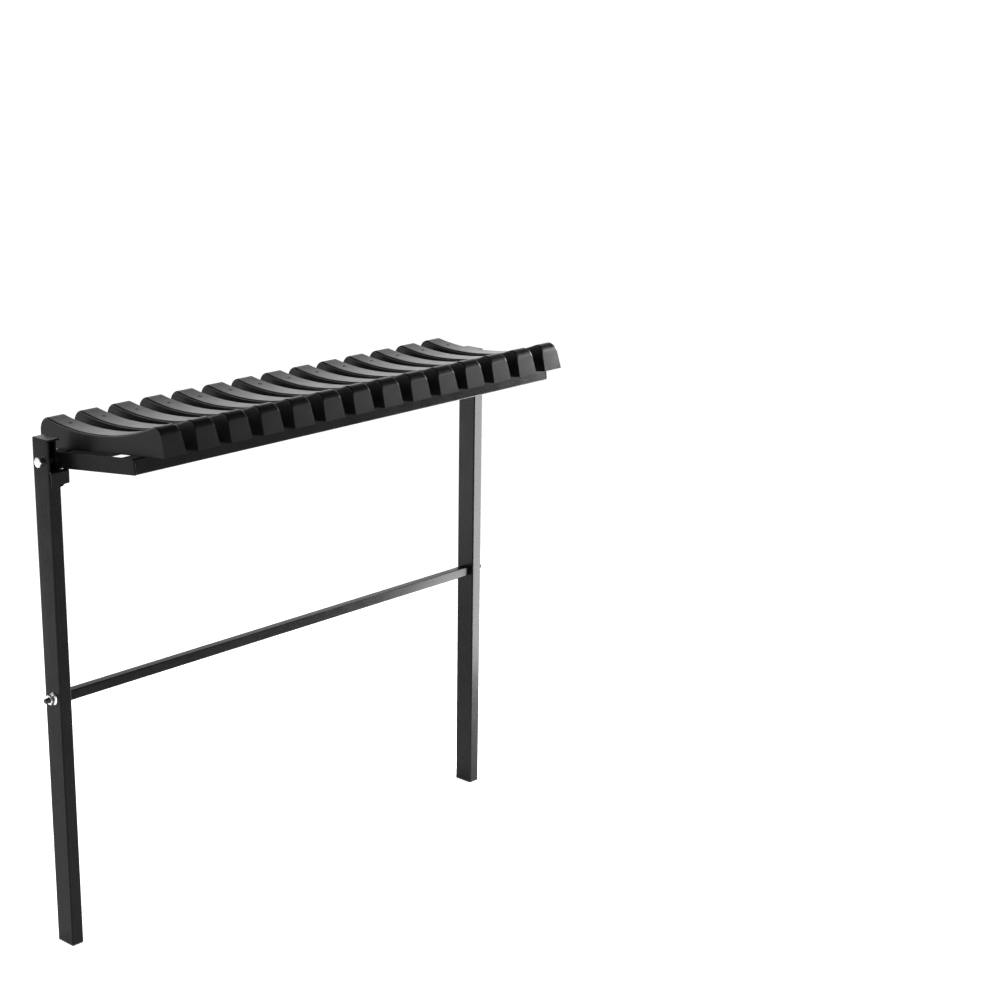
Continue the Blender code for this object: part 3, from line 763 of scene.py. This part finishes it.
def make_slat_screws(row, at):
    """One screw per slat, and the tapped strip inside the beam that takes them."""
    centres = []
    for name in slat_names():
        low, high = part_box(name)
        centres.append((low.x + high.x) / 2)
    screw = screw_mesh(at)
    bm = bmesh.new()
    for x in centres:
        copy = screw.copy()
        copy.transform(Matrix.Translation((x, 0, 0)))
        bm.from_mesh(copy)
        bpy.data.meshes.remove(copy)
    top = FRAME_TOP - BEAM_WALL - GAP
    reach = centres[-1] + STRIP_WIDTH / 2
    front, back = -at - STRIP_WIDTH / 2, -at + STRIP_WIDTH / 2
    profile = [(front, top - STRIP_THICK), (back, top - STRIP_THICK), (back, top), (front, top)]
    add_loft(bm, [[(x, y, z) for y, z in profile] for x in (-reach, reach)])
    node = f"{row}_slat_screws"
    mesh = mesh_from(node, bm)
    mesh.transform(SEAT_PLACE)
    piece(f"{node}_fine", mesh, OXIDE, "seat", (node,))


# ---------------------------------------------------------------- welds


def bead(name, start, end, radius, body, place=None):
    """A rippled weld bead from start to end, coated like the steel."""
    start, end = Vector(start), Vector(end)
    along = (end - start).normalized()
    side = along.orthogonal().normalized()
    up = along.cross(side)
    length = (end - start).length
    bm = bmesh.new()
    rings = []
    count = max(4, int(length / RIPPLE_PITCH)) * RIPPLE_STEPS
    for k in range(count + 1):
        share = k / count
        ends = min(1.0, min(share, 1 - share) * length / radius + BEAD_END)
        wave = 1.0 + RIPPLE_HEIGHT * math.sin(2 * math.pi * k / RIPPLE_STEPS)
        size = radius * wave * math.sqrt(ends)
        centre = start + (end - start) * share
        rings.append([centre + side * a + up * b for a, b in circle(size, BEAD_SIDES)])
    add_loft(bm, rings)
    mesh = mesh_from(name, bm, 60)
    if place:
        mesh.transform(place)
    piece(name, mesh, BAR_COAT, body)


def hollow_weld(tag, inner, way, depth, top):
    """A ground, hollow fillet from the bracket's lower edge down to the post's inner corner."""
    bm = bmesh.new()
    rings = []
    front, back = depth
    for k in range(HOLLOW_STEPS + 1):
        share = (k / HOLLOW_STEPS) ** 1.6
        drop = HOLLOW_DROP * (1 - math.sqrt(1 - (1 - share) ** 2))
        x = inner - way * HOLLOW_BITE + way * (HOLLOW_REACH + HOLLOW_BITE) * share
        edge, low, high = top - HOLLOW_BITE / 4, top - drop - HOLLOW_BITE / 2, top + HOLLOW_BITE
        rear = back - HOLLOW_SETBACK * min(1.0, (HOLLOW_REACH + HOLLOW_BITE) * share / HOLLOW_BITE)
        rings.append([(x, front, edge), (x, rear, low), (x, rear, high), (x, front, high)])
    add_loft(bm, rings)
    name = f"{tag}_stop_corner_weld"
    piece(name, mesh_from(name, bm, 40), POST_COAT, "frame")


def make_welds():
    """Beads where the arms meet the front beam, and where each stop bracket meets its post."""
    back = FRAME_FRONT - BEAM_DEPTH
    for tag, side in SIDES:
        arm_low, arm_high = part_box(f"{tag}_side_arm")
        x = (arm_low.x if side > 0 else arm_high.x) - side * 0.0006
        low = FRAME_BOTTOM + 0.0002
        start, end = (x, -FRAME_FRONT + 0.003, low), (x, -back - 0.003, low)
        bead(f"{tag}_front_arm_weld_low", start, end, 0.0011, "seat", SEAT_PLACE)
        y = -back + 0.0004
        start, end = (x, y, FRAME_BOTTOM + 0.002), (x, y, FRAME_TOP - 0.002)
        bead(f"{tag}_front_arm_weld_back", start, end, 0.0013, "seat", SEAT_PLACE)

        post_low, post_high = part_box(f"{tag}_post")
        stop_low, stop_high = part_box(f"{tag}_stop_bracket")
        y = post_low.y - 0.0002
        under = stop_high.z - STOP_SHEET - 0.0004
        start, end = (post_low.x + 0.0025, y, under), (post_high.x - 0.0025, y, under)
        bead(f"{tag}_stop_weld", start, end, 0.0012, "frame")
        inner = post_low.x if side > 0 else post_high.x
        hollow_weld(tag, inner, -side, (stop_low.y + 0.0003, post_low.y + 0.0004), stop_low.z)


# ---------------------------------------------------------------- carried-over nodes


def make_steelwork():
    for tag, _ in SIDES:
        softened(f"{tag}_post", TUBE_EDGE, POST_COAT, 2)
        softened(f"{tag}_top_plate", PLATE_EDGE, POST_COAT)
        softened(f"{tag}_stop_bracket", BRACKET_EDGE, POST_COAT)
        softened(f"{tag}_side_arm", ARM_EDGE, ARM_COAT)
    for node in ("crossbar", "front_beam", "rear_beam"):
        softened(node, TUBE_EDGE, BAR_COAT, 2)


def dress(node, material):
    obj = frame["nodes"][node]
    obj.data.materials.clear()
    obj.data.materials.append(material)


def dress_nodes():
    for tag, _ in SIDES:
        dress(f"{tag}_foot_plug", PLUG)
        dress(f"{tag}_pivot_spacer", NYLON)
        dress(f"{tag}_pivot_bush", NYLON)
        dress(f"{tag}_pivot_sleeve", OXIDE)
        dress(f"{tag}_pivot_washer", ZINC)
        dress(f"{tag}_bar_insert", ZINC)


# ---------------------------------------------------------------- stage, light and camera


def make_floor():
    bm = bmesh.new()
    bmesh.ops.create_grid(bm, x_segments=FLOOR_CELLS, y_segments=FLOOR_CELLS, size=FLOOR_HALF)
    mesh = mesh_from("studio_floor", bm)
    n = Nodes("studio_floor_paper")
    fibre = n.noise(700.0, 2.0, 0.5)
    n.set(Base_Color=(0.80, 0.80, 0.80, 1.0), Roughness=n.ranged(fibre, 0.85, 0.95))
    n.set(Emission_Color=(1.0, 1.0, 1.0, 1.0), Emission_Strength=FLOOR_GLOW, Specular_IOR_Level=0.0)
    mesh.materials.append(n.material)
    floor = bpy.data.objects.new("studio_floor", mesh)
    bpy.context.scene.collection.objects.link(floor)
    floor.location.z = -0.0005


def make_world():
    """Studio surround by direction: a pale wall at eye level, a dark ceiling, a bright wall back right."""
    world = bpy.data.worlds.new("studio")
    bpy.context.scene.world = world
    world.use_nodes = True
    tree = world.node_tree
    place = tree.nodes.new("ShaderNodeTexCoord").outputs["Generated"]
    split = tree.nodes.new("ShaderNodeSeparateXYZ")
    tree.links.new(place, split.inputs["Vector"])
    rise = tree.nodes.new("ShaderNodeMapRange")
    tree.links.new(split.outputs["Z"], rise.inputs["Value"])
    ramp = tree.nodes.new("ShaderNodeValToRGB")
    elements = ramp.color_ramp.elements
    while len(elements) < len(WALL_LEVELS):
        elements.new(1.0)
    for element, (height, level) in zip(elements, WALL_LEVELS):
        element.position = height
        element.color = (level, level, level, 1.0)
    tree.links.new(rise.outputs["Result"], ramp.inputs["Fac"])

    toward = tree.nodes.new("ShaderNodeVectorMath")
    toward.operation = "DOT_PRODUCT"
    across, up = GLOW_AZIMUTH, GLOW_ELEVATION
    toward.inputs[1].default_value = (
        math.sin(across) * math.cos(up), math.cos(across) * math.cos(up), math.sin(up)
    )
    tree.links.new(place, toward.inputs[0])
    steps = (("SUBTRACT", 1.0), ("MULTIPLY", 0.5 / (1 - math.cos(GLOW_SPREAD))), ("EXPONENT", 0.0))
    value = toward.outputs["Value"]
    for operation, amount in steps + (("MULTIPLY", GLOW_PEAK), ("ADD", 0.0)):
        node = tree.nodes.new("ShaderNodeMath")
        node.operation = operation
        tree.links.new(value, node.inputs[0])
        node.inputs[1].default_value = amount
        value = node.outputs["Value"]
    tree.links.new(ramp.outputs["Color"], node.inputs[1])
    background = tree.nodes["Background"]
    tree.links.new(value, background.inputs["Color"])


def area_light(name, place, target, width, height, level):
    """A softbox of the given radiance."""
    data = bpy.data.lights.new(name, "AREA")
    data.shape = "RECTANGLE"
    data.size = width
    data.size_y = height
    data.energy = level * math.pi * width * height
    light = bpy.data.objects.new(name, data)
    bpy.context.scene.collection.objects.link(light)
    light.location = place
    light.rotation_euler = (Vector(target) - Vector(place)).to_track_quat("-Z", "Y").to_euler()
    light.visible_camera = False


def make_camera():
    """The viewing angle of the picture: from the front left, looking slightly down."""
    data = bpy.data.cameras.new("view")
    data.sensor_width = 36.0
    data.lens = CAMERA_LENS
    data.shift_x = CAMERA_SHIFT
    data.shift_y = CAMERA_SHIFT
    data.clip_start = 0.05
    data.clip_end = 200.0
    camera = bpy.data.objects.new("view", data)
    bpy.context.scene.collection.objects.link(camera)
    camera.location = CAMERA_PLACE
    camera.rotation_euler = (math.pi / 2 - CAMERA_PITCH, 0.0, -CAMERA_AZIMUTH)
    bpy.context.scene.camera = camera


def main():
    bpy.context.scene.view_settings.view_transform = "Standard"
    make_floor()
    make_world()
    for softbox in SOFTBOXES:
        area_light(*softbox)
    make_camera()
    make_steelwork()
    dress_nodes()
    make_slats()
    for tag, side in SIDES:
        make_pivot_hardware(tag, side)
        make_bar_hardware(tag, side)
    for row, at in SCREW_ROWS.items():
        make_slat_screws(row, at)
    make_welds()


main()
